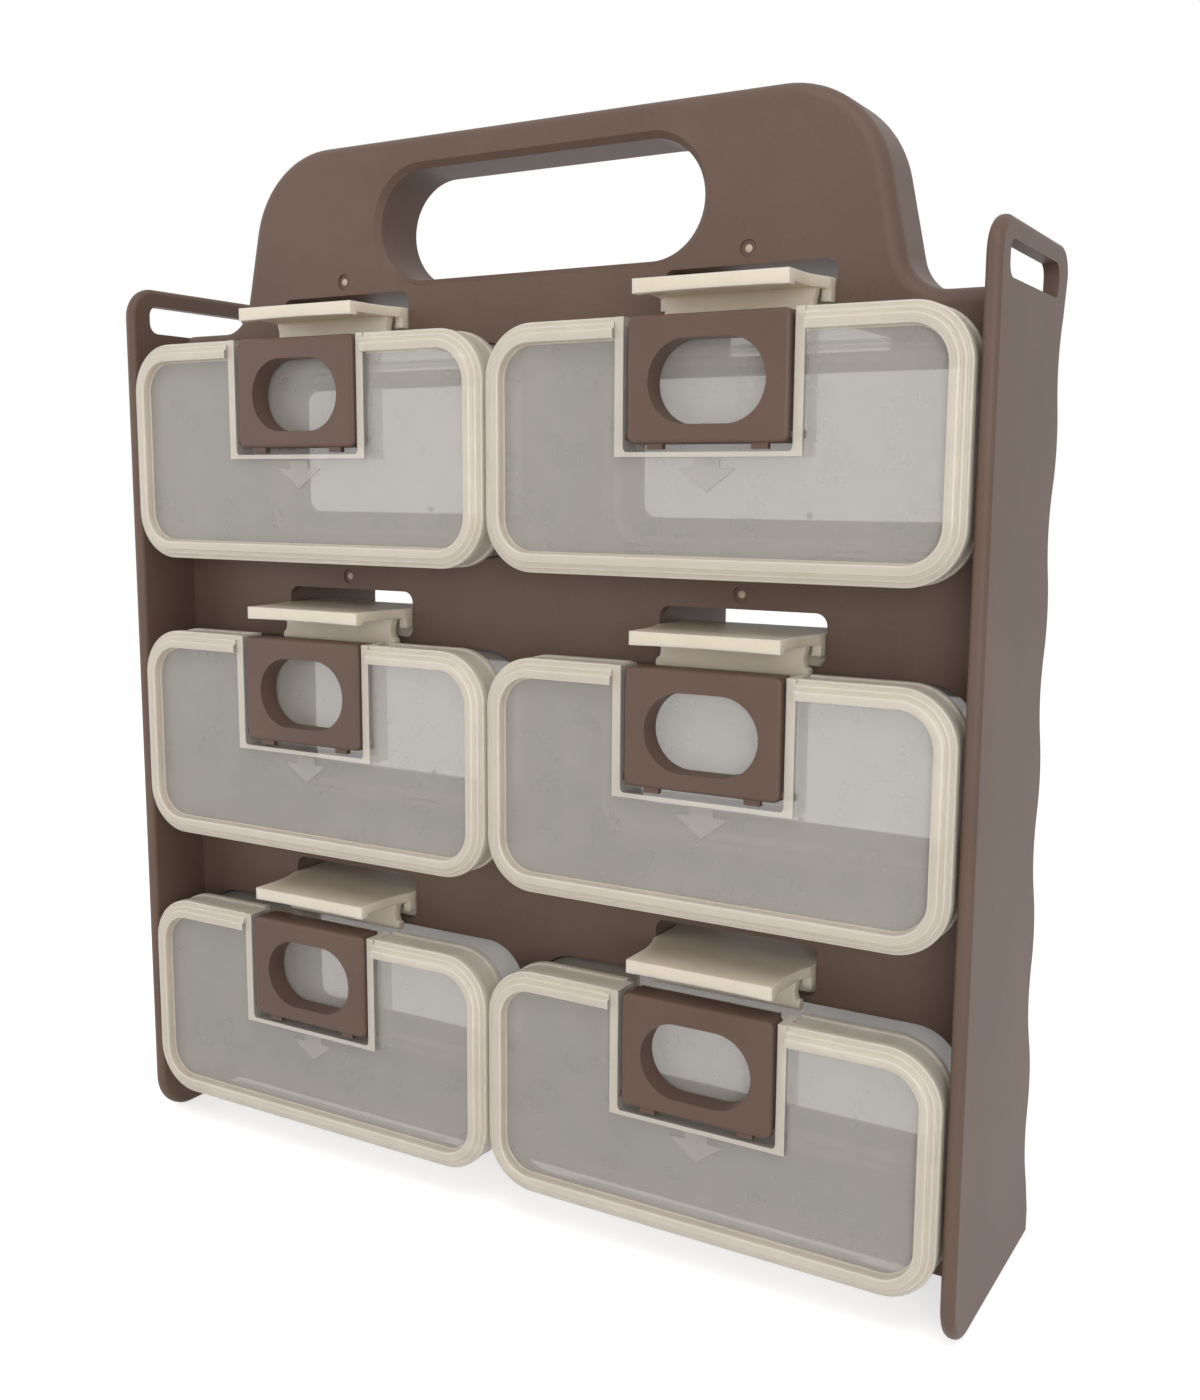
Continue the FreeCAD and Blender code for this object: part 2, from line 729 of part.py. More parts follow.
def build_latch(label):
    """Hollow latch plate with a stadium finger hole, hinge pin, two feet and a hook along its top."""
    body = new_body(label)
    face = -size.latch_proud
    back = face + size.latch_depth
    plate = add(body, "plate", face, back,
                span_from_top(size.latch_width, -size.latch_height, Size(0), size.latch_corner))
    round_edges(body, "face_edge", plate, size.latch_edge, lambda edge: lies_at_depth(edge, face.value))
    both_walls = 2 * size.latch_wall
    hollow_width = size.latch_width - both_walls
    cut(body, "hollow", face + size.latch_face, back, together(
        span_from_top(hollow_width, size.latch_wall - size.latch_height, -size.latch_wall),
        stadium(
            Size(0), -size.finger_drop, size.finger_width + both_walls, size.finger_height + both_walls)))
    cut(body, "finger_hole", face, back,
        stadium(Size(0), -size.finger_drop, size.finger_width, size.finger_height))
    add(body, "hook", back - bite, back + size.notch_clearance + size.catch_overlap,
        span_from_top(hollow_width, size.catch_gap - size.body_inset, -size.latch_hook_drop))
    pin_reach = half(recess_outer) - size.pin_end_gap
    add(body, "pin", -pin_reach, pin_reach, disc(size.pin_depth, -pin_drop, size.pin_radius), "YZ")
    foot_middle = half(size.foot_spacing)
    foot_height = size.foot_length + size.latch_wall
    foot_level = half(foot_height) - size.latch_height - size.foot_length
    foot_front = size.pin_depth - size.foot_thickness + size.foot_setback
    add(body, "feet", foot_front, foot_front + size.foot_thickness, together(
        rectangle(-foot_middle, foot_level, size.foot_width, foot_height),
        rectangle(foot_middle, foot_level, size.foot_width, foot_height)))
    return body


def crowned_strip(width, top, crown, thickness):
    """A strip seen end on: two parallel arcs closed by short uprights."""
    reach = half(width).value
    high = top.value
    side = high - crown.value
    thick = thickness.value
    return outline([
        arc_piece((reach, side), (0, high), (-reach, side)),
        line_piece((-reach, side), (-reach, side - thick)),
        arc_piece((-reach, side - thick), (0, high - thick), (reach, side - thick)),
        line_piece((reach, side - thick), (reach, side)),
    ])


# How much of its flare the thumb tab has half way along it, so that its side is hollow.
flare_share = 0.25


def side_trim(sign):
    """What the thumb tab's side loses beside the wider tongue."""
    tab = sign * half(clip_width).value
    tongue = sign * half(tongue_width).value
    start = size.clip_flare_start.value
    end = (size.panel_setback - size.tongue_rib).value
    outside = tongue + sign * beyond.value
    ahead = -beyond.value
    bulge = tab + (tongue - tab) * flare_share
    return [
        line_piece((outside, ahead), (tab, ahead)),
        line_piece((tab, ahead), (tab, start)),
        arc_piece((tab, start), (bulge, (start + end) / 2), (tongue, end)),
        line_piece((tongue, end), (outside, end)),
        line_piece((outside, end), (outside, ahead)),
    ]


def web_outline():
    """The web's front view, with hollow sides."""
    reach = half(web_width).value
    waist = reach - size.web_waist.value
    low = (size.web_seat_gap + half(size.web_thickness) - size.body_inset).value
    high = (size.clip_top - size.clip_crown - half(size.clip_thickness)).value
    middle = (low + high) / 2
    return outline([
        line_piece((-reach, low), (reach, low)),
        arc_piece((reach, low), (waist, middle), (reach, high)),
        line_piece((reach, high), (-reach, high)),
        arc_piece((-reach, high), (-waist, middle), (-reach, low)),
    ])


def build_clip(label):
    """Thumb tab, tongue and hook on a thin web that stands on the box and bends like a spring."""
    body = new_body(label)
    tongue_end = hook_front + size.hook_thickness + size.tongue_overhang
    add(body, "tongue", Size(0), tongue_end,
        crowned_strip(tongue_width, size.clip_top, size.clip_crown, size.clip_thickness))
    add(body, "front_lip", Size(0), size.clip_lip,
        crowned_strip(clip_width, size.clip_top, size.clip_crown, size.clip_lip))
    for name, sign in (("left", -1), ("right", 1)):
        cut(body, name + "_trim", Size(0), size.clip_top + beyond, outline(side_trim(sign)), "XY")
    rib_high = size.clip_top - size.clip_crown - half(size.clip_thickness)
    rib_height = rib_high - size.tongue_rib_bottom
    rib_middle = half(tongue_width - size.tongue_rib)
    rib_level = size.tongue_rib_bottom + half(rib_height)
    hook_back = hook_front + size.hook_thickness
    add(body, "tongue_ribs", size.panel_setback - size.tongue_rib, hook_back, together(
        rectangle(-rib_middle, rib_level, size.tongue_rib, rib_height),
        rectangle(rib_middle, rib_level, size.tongue_rib, rib_height)))
    web_half = half(size.web_thickness)
    web_depth = size.panel_setback - size.web_setback
    add(body, "web", web_depth - web_half, web_depth + web_half, web_outline())
    root_level = size.web_seat_gap + web_half - size.body_inset
    add(body, "web_root", -half(web_width), half(web_width),
        disc(web_depth, root_level, web_half), "YZ")
    add(body, "hook", hook_front, hook_back, span_from_top(tongue_width, -size.hook_catch, rib_high))
    return body


nodes = divide_rack(build_rack())
box_pieces = (("body", build_body), ("lid", build_lid), ("latch", build_latch), ("clip", build_clip))
for number, (column, row) in enumerate(box_places, 1):
    for part, build in box_pieces:
        piece = build("box_%d_%s" % (number, part))
        place(piece, column, row)
        nodes.append(piece)
doc.recompute()

for thing in doc.Objects:
    if "Invalid" in thing.State or "Error" in thing.State:
        raise RuntimeError("%s did not build" % thing.Label)
for node in nodes:
    if node.Shape.isNull() or not node.Shape.isValid():
        raise RuntimeError("%s has no sound shape" % node.Label)
    if len(node.Shape.Solids) != 1:
        raise RuntimeError("%s is in %d pieces" % (node.Label, len(node.Shape.Solids)))
os.makedirs("parts", exist_ok=True)
for node in nodes:
    node.Shape.exportStep("parts/%s.step" % node.Label)
    print("%-14s %9.1f mm3" % (node.Label, node.Shape.Volume))
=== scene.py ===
# %% [markdown]
# Parts case
#
# An upright carrying rack, moulded in one piece, holds six clear boxes. Each box has a lid with a latch
# and a spring clip on top. All of it could be modelled afresh here, but the construction already exists
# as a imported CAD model, which is exact and only lacks soft edges and a finish. So this script keeps
# every place and size of that model, and gives each moulding the rounded edges, the marks of its mould
# and the plastic that it has on the real object.

import json
import math

import bmesh
import bpy
from mathutils import Matrix, Vector

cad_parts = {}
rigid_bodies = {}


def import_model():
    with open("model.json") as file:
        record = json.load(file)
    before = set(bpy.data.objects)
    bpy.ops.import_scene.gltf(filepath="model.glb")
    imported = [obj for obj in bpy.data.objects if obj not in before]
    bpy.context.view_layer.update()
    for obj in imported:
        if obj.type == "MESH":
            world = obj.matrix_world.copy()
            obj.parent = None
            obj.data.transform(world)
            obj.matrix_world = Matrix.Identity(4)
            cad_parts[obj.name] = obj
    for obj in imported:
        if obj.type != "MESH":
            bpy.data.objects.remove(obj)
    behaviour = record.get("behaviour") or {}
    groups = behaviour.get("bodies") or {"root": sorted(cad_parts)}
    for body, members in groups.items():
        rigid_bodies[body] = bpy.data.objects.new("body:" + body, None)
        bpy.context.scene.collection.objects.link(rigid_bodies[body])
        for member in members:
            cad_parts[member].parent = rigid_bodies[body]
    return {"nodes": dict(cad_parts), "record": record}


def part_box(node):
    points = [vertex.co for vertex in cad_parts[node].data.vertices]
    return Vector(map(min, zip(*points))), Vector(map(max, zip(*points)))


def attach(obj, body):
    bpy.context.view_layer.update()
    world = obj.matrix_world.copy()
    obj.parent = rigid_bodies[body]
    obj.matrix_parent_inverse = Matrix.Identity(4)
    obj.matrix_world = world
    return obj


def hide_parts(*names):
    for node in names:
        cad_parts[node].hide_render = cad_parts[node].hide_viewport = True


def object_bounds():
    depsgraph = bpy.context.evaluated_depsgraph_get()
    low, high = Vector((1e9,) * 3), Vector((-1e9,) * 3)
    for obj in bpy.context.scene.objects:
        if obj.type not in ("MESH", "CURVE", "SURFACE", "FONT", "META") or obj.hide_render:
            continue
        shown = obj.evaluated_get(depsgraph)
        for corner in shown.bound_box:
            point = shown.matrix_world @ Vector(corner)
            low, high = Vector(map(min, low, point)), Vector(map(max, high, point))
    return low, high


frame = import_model()
cad_low, cad_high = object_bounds()
MM = 0.001
print("CAD box in mm", [round(side / MM, 1) for side in cad_high - cad_low])

# %% [markdown]
# From loose triangles to a clean mesh
#
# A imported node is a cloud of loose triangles, good for a simulation and poor for modelling. It could be
# drawn again by hand, or remeshed, which would blur its edges. Here the triangles are joined at their
# corners and the flat ones merged into single faces. What is left as edges are the real edges, so they
# can be picked by their angle.

# %% Copy a node as a clean mesh
JOIN = 0.001 * MM
FLAT = math.radians(1)


def tidy(mesh):
    """Joins what touches and merges what is flat."""
    bmesh.ops.remove_doubles(mesh, verts=mesh.verts, dist=JOIN)
    bmesh.ops.dissolve_limit(mesh, angle_limit=FLAT, verts=mesh.verts, edges=mesh.edges)
    return mesh


def copy_of(node):
    """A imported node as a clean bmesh. The node's own mesh stays as it is."""
    mesh = bmesh.new()
    mesh.from_mesh(frame["nodes"][node].data)
    return tidy(mesh)


print(len(frame["nodes"]), "nodes to work from")

# %% [markdown]
# Soft edges
#
# No mould has a razor edge: each one is rounded by a few tenths of a millimetre, and that is what
# catches the light. A Bevel modifier could do it for a whole piece, with one width. The bevel operator
# is used instead, because it takes any list of edges, so that an outer edge can be rounder than a
# groove, and it gives back the faces that it made. The facets of a curve meet at less than 35 degrees,
# so they stay as they are.

# %% Bevel the sharp edges
SHARP = math.radians(35)
QUARTER_TURN = math.radians(90)
FULL_TURN = math.radians(360)


def sharp_edges(mesh):
    """The edges whose two faces turn by more than the facets of a curve do."""
    return [edge for edge in mesh.edges if edge.is_manifold and edge.calc_face_angle() > SHARP]


def soften(mesh, edges, width, segments=2):
    """Rounds these edges, and gives back the narrow faces that the rounding made."""
    made = bmesh.ops.bevel(
        mesh, geom=edges, offset=width, offset_type="OFFSET", segments=segments, profile=0.5,
        affect="EDGES", clamp_overlap=True, material=-1)
    return made["faces"]


print("edges of more than", round(math.degrees(SHARP)), "degrees are rounded")

# %% [markdown]
# Colours and nodes
#
# A shader needs linear colours, while a colour picker shows sRGB. The values could be converted by
# hand, but a written hex code is easier to check against the object, so one function converts it. A
# material is built of nodes, and one small function adds a node, sets it and links it.

# %% Colour and node helpers
def colour(code):
    """An sRGB hex value as a linear colour."""
    parts = [int(code[place:place + 2], 16) / 255 for place in (1, 3, 5)]
    linear = [part / 12.92 if part <= 0.04045 else ((part + 0.055) / 1.055) ** 2.4 for part in parts]
    return (*linear, 1)


def add(tree, kind, inputs=None, **settings):
    """Adds a node. An input is a value, or another node's output to link."""
    node = tree.nodes.new("ShaderNode" + kind)
    for name, value in settings.items():
        setattr(node, name, value)
    for name, value in (inputs or {}).items():
        if isinstance(value, bpy.types.NodeSocket):
            tree.links.new(value, node.inputs[name])
        else:
            node.inputs[name].default_value = value
    return node


def new_material(name):
    """A material with a plain shader, its node tree and that shader."""
    material = bpy.data.materials.new(name)
    material.use_nodes = True
    tree = material.node_tree
    return material, tree, tree.nodes["Principled BSDF"]


print("mid grey is", round(colour("#808080")[0], 3), "in linear light")

# %% [markdown]
# Polypropylene
#
# Every piece of the case is moulded polypropylene. Neither a pigment nor the plastic's own milkiness is
# ever quite even, so the colour drifts a little from place to place. A painted picture could show that,
# but a noise pattern on the object's own coordinates needs no picture and fits every piece. The drift
# is a ramp between two close tones.

# %% What every polypropylene shares
POLYPROPYLENE_IOR = 1.49
NOISE_LOW, NOISE_HIGH = 0.3, 0.7


def two_tones(tree, noise, shade, base):
    """Colours the shader from the darker tone to the base tone, as this noise says."""
    tone = add(tree, "ValToRGB", {"Fac": noise})
    low, high = tone.color_ramp.elements
    low.position = NOISE_LOW
    low.color = colour(shade)
    high.position = NOISE_HIGH
    high.color = colour(base)
    tree.links.new(tone.outputs["Color"], tree.nodes["Principled BSDF"].inputs["Base Color"])


print("index of refraction", POLYPROPYLENE_IOR)

# %% [markdown]
# Moulded plastic with a grain
#
# The rack and the latches are coloured a warm grey. Their mould is spark-eroded, which leaves a fine
# satin grain that breaks up the gloss. The grain is about 0.2 mm on the real part, too fine for a
# picture of the whole case, so it is drawn at 0.6 mm. It could be modelled, at the cost of millions of
# faces. A bump of a few hundredths of a millimetre, with a gloss that follows it, looks the same.

# %% Grained plastic
GRAIN = 0.6 * MM
GRAIN_HEIGHT = 0.05 * MM
GRAIN_SHARE = 0.35
CLOUD = 28 * MM
SATIN_LEVEL = 0.3
GLOSSIER, DULLER = 0.06, 0.08


def grained_plastic(name, base, shade, roughness, grain_strength):
    material, tree, shader = new_material(name)
    place = add(tree, "TexCoord").outputs["Object"]
    cloud = add(tree, "TexNoise", {"Vector": place, "Scale": 1 / CLOUD, "Detail": 3}).outputs["Fac"]
    grain = add(tree, "TexNoise", {"Vector": place, "Scale": 1 / GRAIN, "Detail": 2}).outputs["Fac"]
    speck = add(tree, "Mix", {0: GRAIN_SHARE, "A": cloud, "B": grain})
    two_tones(tree, speck.outputs["Result"], shade, base)
    gloss = add(tree, "MapRange", {
        "Value": grain, "To Min": roughness - GLOSSIER, "To Max": roughness + DULLER})
    tree.links.new(gloss.outputs["Result"], shader.inputs["Roughness"])
    bump = add(tree, "Bump", {"Height": grain, "Strength": grain_strength, "Distance": GRAIN_HEIGHT})
    tree.links.new(bump.outputs["Normal"], shader.inputs["Normal"])
    shader.inputs["IOR"].default_value = POLYPROPYLENE_IOR
    shader.inputs["Specular IOR Level"].default_value = SATIN_LEVEL
    return material


gate_scar = grained_plastic(
    "polypropylene, warm grey, torn pale gate", "#c9b9a8", "#b3a292", 0.55, 0.1)
rack_plastic = grained_plastic(
    "polypropylene, warm grey, spark-eroded grain", "#6b564a", "#604c42", 0.5, 0.25)
latch_plastic = grained_plastic(
    "polypropylene, warm grey, fine satin", "#675146", "#5e4a40", 0.44, 0.15)
print("grained plastics", [kind.name for kind in (gate_scar, rack_plastic, latch_plastic)])

# %% [markdown]
# Natural polypropylene
#
# The boxes and clips are the same plastic without pigment. A thin wall is a cloudy window. A thick rim
# or rib looks cream, because light goes further before it leaves, and a rounded edge gathers that light
# into a bright line. A true volume inside each wall would show all this by itself, but it is slow and
# noisy. So four recipes say how much each surface holds back, and in the thick ones light also spreads
# sideways by some 3 mm, which softens the lines between the rim's steps. The bright line along a rounded
# edge is a painted highlight: its recipe is a slightly paler colour. The milkiness drifts over
# about 9 mm, as in the boxes.

# %% Translucent plastic
MILK = 9 * MM
SPREAD = 3 * MM


def natural_plastic(name, base, shade, alpha, roughness, spreading=0.0):
    material, tree, shader = new_material(name)
    place = add(tree, "TexCoord").outputs["Object"]
    milk = add(tree, "TexNoise", {"Vector": place, "Scale": 1 / MILK, "Detail": 2})
    two_tones(tree, milk.outputs["Fac"], shade, base)
    shader.inputs["Roughness"].default_value = roughness
    shader.inputs["IOR"].default_value = POLYPROPYLENE_IOR
    shader.inputs["Alpha"].default_value = alpha
    shader.inputs["Subsurface Weight"].default_value = spreading
    shader.inputs["Subsurface Radius"].default_value = (1, 1, 1)
    shader.inputs["Subsurface Scale"].default_value = SPREAD
    return material


thin_wall = natural_plastic(
    "polypropylene, natural, thin cloudy wall", "#c9c4bc", "#c3bfb8", 0.38, 0.28)
thick_rim = natural_plastic(
    "polypropylene, natural, thick rim", "#e4d9c9", "#ddd3c4", 0.74, 0.3, 1.0)
# The rounded edge's paler colour is a painted highlight, for the line of light that such an edge gathers.
painted_highlight_edge = natural_plastic(
    "polypropylene, natural, rounded edge, painted highlight", "#ece2d2", "#e7dece", 0.76, 0.25, 1.0)
heavy_clip = natural_plastic(
    "polypropylene, natural, heavy moulding", "#eadecb", "#e4d8c5", 0.95, 0.34, 1.0)
print("natural plastics", [kind.name for kind in (thin_wall, thick_rim, painted_highlight_edge, heavy_clip)])

# %% [markdown]
# Finished pieces
#
# A finished piece takes the place of its CAD node: it moves with the same body, and its node, where it
# has one, is hidden. Its object could be moved into place, but the node's object stays at the origin and
# so does this one, with the place in the mesh. Smooth shading alone would darken the flat faces beside
# soft edges, and weighted normals keep them flat.

# %% Turn a mesh into a piece
def new_object(name, data):
    """An object in the scene that shows this mesh, lamp or camera."""
    item = bpy.data.objects.new(name, data)
    bpy.context.scene.collection.objects.link(item)
    return item


def as_data(mesh, name, *materials):
    """Writes a bmesh, which is then freed, to mesh data with these materials."""
    data = bpy.data.meshes.new(name)
    for material in materials:
        data.materials.append(material)
    mesh.to_mesh(data)
    mesh.free()
    return data


def finish_piece(name, data, body, nodes=()):
    """A shaded piece that moves with this body and stands for these nodes."""
    piece = new_object(name, data)
    data.shade_smooth()
    piece.modifiers.new("even shading", "WEIGHTED_NORMAL")
    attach(piece, body)
    if nodes:
        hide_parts(*nodes)
    return piece


# %% [markdown]
# The rack
#
# On the real object the panel, the sockets, the handle and the two side walls are one moulding. The CAD
# model divides it into slices that meet face to face. Side by side they would show their seams, and
# welding their corners would leave faces inside. A boolean union of the slices makes the moulding whole
# again.

# %% Join the slices
RACK_NODES = frame["record"]["behaviour"]["bodies"]["rack"]


def after_modifiers(item):
    """The mesh that this object has once its modifiers have run."""
    return bpy.data.meshes.new_from_object(item.evaluated_get(bpy.context.evaluated_depsgraph_get()))


def joined(nodes):
    """A boolean union of several nodes, as one clean mesh."""
    first = new_object(nodes[0] + "_copy", as_data(copy_of(nodes[0]), nodes[0] + "_copy"))
    rest = bpy.data.collections.new("slices")
    for node in nodes[1:]:
        rest.objects.link(bpy.data.objects.new(node + "_copy", as_data(copy_of(node), node + "_copy")))
    union = first.modifiers.new("union", "BOOLEAN")
    union.operation = "UNION"
    union.operand_type = "COLLECTION"
    union.collection = rest
    union.solver = "EXACT"
    result = after_modifiers(first)
    for piece in [first, *rest.objects]:
        bpy.data.meshes.remove(piece.data)
    bpy.data.collections.remove(rest)
    return result


whole_rack = joined(RACK_NODES)
print("rack", len(whole_rack.vertices), "corners")

# %% [markdown]
# Gate marks
#
# Plastic enters the rack's mould at a small dished spot above each box. A bump could hint at a dish, but
# the rim of the real one catches the light, so it is cut as one more boolean, a difference. All six
# dishes are cylinders in one mesh, and half of each stands out in front of the panel, so that the cut
# is clean.

# %% Places of the gate marks
BOX_NUMBERS = range(1, 7)
lid_boxes = [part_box("box_%d_lid" % number) for number in BOX_NUMBERS]
GATE_RISE = 17 * MM
PANEL_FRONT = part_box("rack_handle")[0].y
GATE_PLACES = [
    Vector(((low.x + high.x) / 2, PANEL_FRONT, high.z + GATE_RISE)) for low, high in lid_boxes]
FACE_FRONT = Matrix.Rotation(QUARTER_TURN, 4, "X")
DISH_RADIUS = 2.2 * MM
DISH_DEPTH = 0.5 * MM
print("gate marks at", [round(place.z / MM, 1) for place in GATE_PLACES])

# %% Cut the dishes
dish_mesh = bmesh.new()
for place in GATE_PLACES:
    bmesh.ops.create_cone(
        dish_mesh, cap_ends=True, segments=32, radius1=DISH_RADIUS, radius2=DISH_RADIUS,
        depth=2 * DISH_DEPTH, matrix=Matrix.Translation(place) @ FACE_FRONT)
dishes = new_object("dishes", as_data(dish_mesh, "dishes"))
blank = new_object("blank", whole_rack)
dishing = blank.modifiers.new("dishes", "BOOLEAN")
dishing.operation = "DIFFERENCE"
dishing.object = dishes
dishing.solver = "EXACT"
dished = after_modifiers(blank)
rack_mesh = bmesh.new()
rack_mesh.from_mesh(dished)
for mesh in (whole_rack, dishes.data, dished):
    bpy.data.meshes.remove(mesh)
tidy(rack_mesh)
print("rack", len(rack_mesh.verts), "corners,", len(sharp_edges(rack_mesh)), "sharp edges")

# %% [markdown]
# The rack's edges
#
# The long outer edges of the side walls are rounded the most, as a hand meets them, and they catch a
# line of light. The strap slots and everything else keep a small radius. One bevel has one width, so
# the walls' outlines are picked by their place and done first, without what lies in a box round the
# strap slots.

# %% Round the rack's edges
WALL_ROUND = 1.6 * MM
RACK_ROUND = 0.45 * MM
WALL_FACES = [corner.x for wall in ("rack_wall_left", "rack_wall_right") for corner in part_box(wall)]
SLOT_LOW = Vector((0, -29, 243)) * MM
SLOT_HIGH = Vector((0, 19, 254)) * MM


def on_wall_outline(edge):
    """True for the outer edges of a side wall's two faces, apart from its strap slot's."""
    flat = any(all(abs(corner.co.x - face) < JOIN for corner in edge.verts) for face in WALL_FACES)
    middle = (edge.verts[0].co + edge.verts[1].co) / 2
    near_slot = SLOT_LOW.y < middle.y < SLOT_HIGH.y and SLOT_LOW.z < middle.z < SLOT_HIGH.z
    return flat and edge.is_convex and not near_slot


soften(rack_mesh, [edge for edge in sharp_edges(rack_mesh) if on_wall_outline(edge)], WALL_ROUND, 4)
soften(rack_mesh, sharp_edges(rack_mesh), RACK_ROUND)
rack = finish_piece(
    "rack_moulding", as_data(rack_mesh, "rack_moulding", rack_plastic), "rack",
    RACK_NODES)
print("rack", len(rack.data.polygons), "faces")

# %% [markdown]
# Gate stubs
#
# Where the stub of plastic is torn off in each dish, it stays pale. It could be a paler spot in the
# rack's material, but it stands up a little, so it is a low dome of its own: half of its outline, a
# flat foot and a quarter of an oval, spun once round.

# %% Gate stubs
STUB_RADIUS = 1.0 * MM
STUB_HEIGHT = 0.45 * MM
RISE_STEPS = 6
ROUND_STEPS = 24


def dome(radius, height):
    """A low dome that stands on the floor of a dish and points forwards."""
    mesh = bmesh.new()
    outline = [mesh.verts.new((0, DISH_DEPTH, 0)), mesh.verts.new((radius, DISH_DEPTH, 0))]
    for step in range(1, RISE_STEPS + 1):
        turn = QUARTER_TURN * step / RISE_STEPS
        reach = radius * math.cos(turn) if step < RISE_STEPS else 0
        outline.append(mesh.verts.new((reach, DISH_DEPTH - height * math.sin(turn), 0)))
    edges = [mesh.edges.new(pair) for pair in zip(outline, outline[1:])]
    bmesh.ops.spin(
        mesh, geom=outline + edges, cent=(0, 0, 0), axis=(0, 1, 0), angle=FULL_TURN,
        steps=ROUND_STEPS, use_merge=True)
    bmesh.ops.remove_doubles(mesh, verts=mesh.verts, dist=JOIN)
    bmesh.ops.recalc_face_normals(mesh, faces=mesh.faces)
    return mesh


for number, place in enumerate(GATE_PLACES, 1):
    stub = as_data(dome(STUB_RADIUS, STUB_HEIGHT), "gate_stub", gate_scar)
    stub.transform(Matrix.Translation(place))
    finish_piece("gate_stub_%d" % number, stub, "rack")
print("gate stubs", len(GATE_PLACES), "of", len(stub.polygons), "faces")

# %% [markdown]
# The boxes
#
# All six boxes come from the same moulds. They could be linked copies that are moved into place, but
# every finished object stays at the origin. So each piece is made once, for the top left box, and the
# move to each place goes into a copy of its mesh.

# %% Copies at every place
first_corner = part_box("box_1_body")[0]


def shift_to(number):
    """The way from the first box to this one."""
    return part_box("box_%d_body" % number)[0] - first_corner


def repeat(kind, data, part, stands_in=True):
    """One piece of this kind for every box, which moves with this part of the box."""
    for number in BOX_NUMBERS:
        copy = data.copy()
        copy.transform(Matrix.Translation(shift_to(number)))
        node = "box_%d_%s" % (number, part)
        body = "box_%d" % number if part == "body" else node
        finish_piece("%s_%d" % (kind, number), copy, body, [node] if stands_in else [])
    print(kind, len(data.polygons), "faces each")


print("from the first box to the last in mm", [round(side / MM, 1) for side in shift_to(6)])

# %% [markdown]
# Measures on the first lid
#
# A maker measures a lid from its own middle and front, and not from the middle of the case. A helper
# turns a point into such measures, in millimetres: across from the middle of the lid's top, behind the
# plane that its rim's step stands on, and above its top.

# %% Places on the first lid
lid_low, lid_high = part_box("box_1_lid")
RIM_STEP = 1.8 * MM
LID_CORNER = Vector(((lid_low.x + lid_high.x) / 2, lid_low.y + RIM_STEP, lid_high.z))
CLOSE = 0.05


def on_lid(point):
    """A point in mm: across from the lid's middle, behind its front plane and above its top."""
    return (point - LID_CORNER) / MM


def within(part, reach, drop):
    """True for a face or edge all inside this width and height, under the middle of the lid's top."""
    places = [on_lid(corner.co) for corner in part.verts]
    return all(abs(place.x) < reach and place.z > drop for place in places)


def faces_forwards(face):
    return face.normal.y < -math.cos(SHARP)


print("lid in mm", [round(side / MM, 1) for side in lid_high - lid_low])

# %% [markdown]
# Lids
#
# A lid is a shallow tray with a stepped rim, thin panels and a walled recess for the latch. The walls
# of the recess are thickened towards the latch first, so that they are as close to it as on the real
# lid. It could be done with a boolean, but the walls' corners only need to slide sideways.

# %% Recess walls
WALL_START, WALL_OLD, WALL_NEW = 20.0, 23.15, 22.0
lid_mesh = copy_of("box_1_lid")
for corner in lid_mesh.verts:
    across = on_lid(corner.co).x
    if WALL_START < abs(across) < WALL_OLD + CLOSE:
        kept = WALL_START + (abs(across) - WALL_START) * (WALL_NEW - WALL_START) / (WALL_OLD - WALL_START)
        corner.co.x += (math.copysign(kept, across) - across) * MM
print("recess walls", round(WALL_OLD - WALL_NEW, 2), "mm thicker")

# %% [markdown]
# What each face of a lid is made of
#
# The plastic looks different where it is thin or thick, and a rounded edge gets a painted highlight. A
# painted mask could mix the three, but each face of the clean mesh has one thickness, so a rule can sort
# them: the panels are the broad faces at four known depths, the walls of the recess are as thin, and its
# raised lip and the rims are thick. The faces of the painted highlight are sorted later, as the bevels
# make them.

# %% Sort the lid's faces
# The third slot holds the painted highlight of the rounded edges.
RIM, PANEL, PAINTED_HIGHLIGHT = 0, 1, 2
PANEL_LEVELS = (1.0, 2.3, 6.4, 7.7)
RECESS_REACH, RECESS_DROP = 24.5, -33.2
LIP_LEVEL = 0.9


def is_panel(face):
    """True for the broad thin panels of the lid and of the recess behind the latch."""
    depth = on_lid(face.calc_center_median()).y
    flat = faces_forwards(face) or face.normal.y > math.cos(SHARP)
    return flat and any(abs(depth - level) < CLOSE for level in PANEL_LEVELS)


def is_lip(face):
    """True for the front of the raised lip round the recess."""
    return faces_forwards(face) and on_lid(face.calc_center_median()).y < LIP_LEVEL


for face in lid_mesh.faces:
    thin = is_panel(face) or within(face, RECESS_REACH, RECESS_DROP) and not is_lip(face)
    face.material_index = PANEL if thin else RIM
print("thin faces", sum(face.material_index == PANEL for face in lid_mesh.faces))

# %% [markdown]
# The lid's edges
#
# The rim's steps are rounded most, the recess's lip less and the rest only a little. A bevel makes the
# faces beside it anew, so the paler recipe, a painted highlight, goes to the narrow faces of the rim's
# and the lip's bevels straight after each bevel.

# %% Round the lid's edges
RIM_ROUND = 0.4 * MM
LIP_ROUND = 0.25 * MM
SMALL_ROUND = 0.12 * MM
FRONT_BAND = 1.2
LIP_REACH, LIP_DROP = 23.1, -32.4


def front_edges(inside, reach, drop):
    """The sharp edges at the lid's front that lie inside, or not inside, this width and height."""
    return [edge for edge in sharp_edges(lid_mesh)
            if all(on_lid(end.co).y < FRONT_BAND for end in edge.verts)
            and within(edge, reach, drop) == inside]


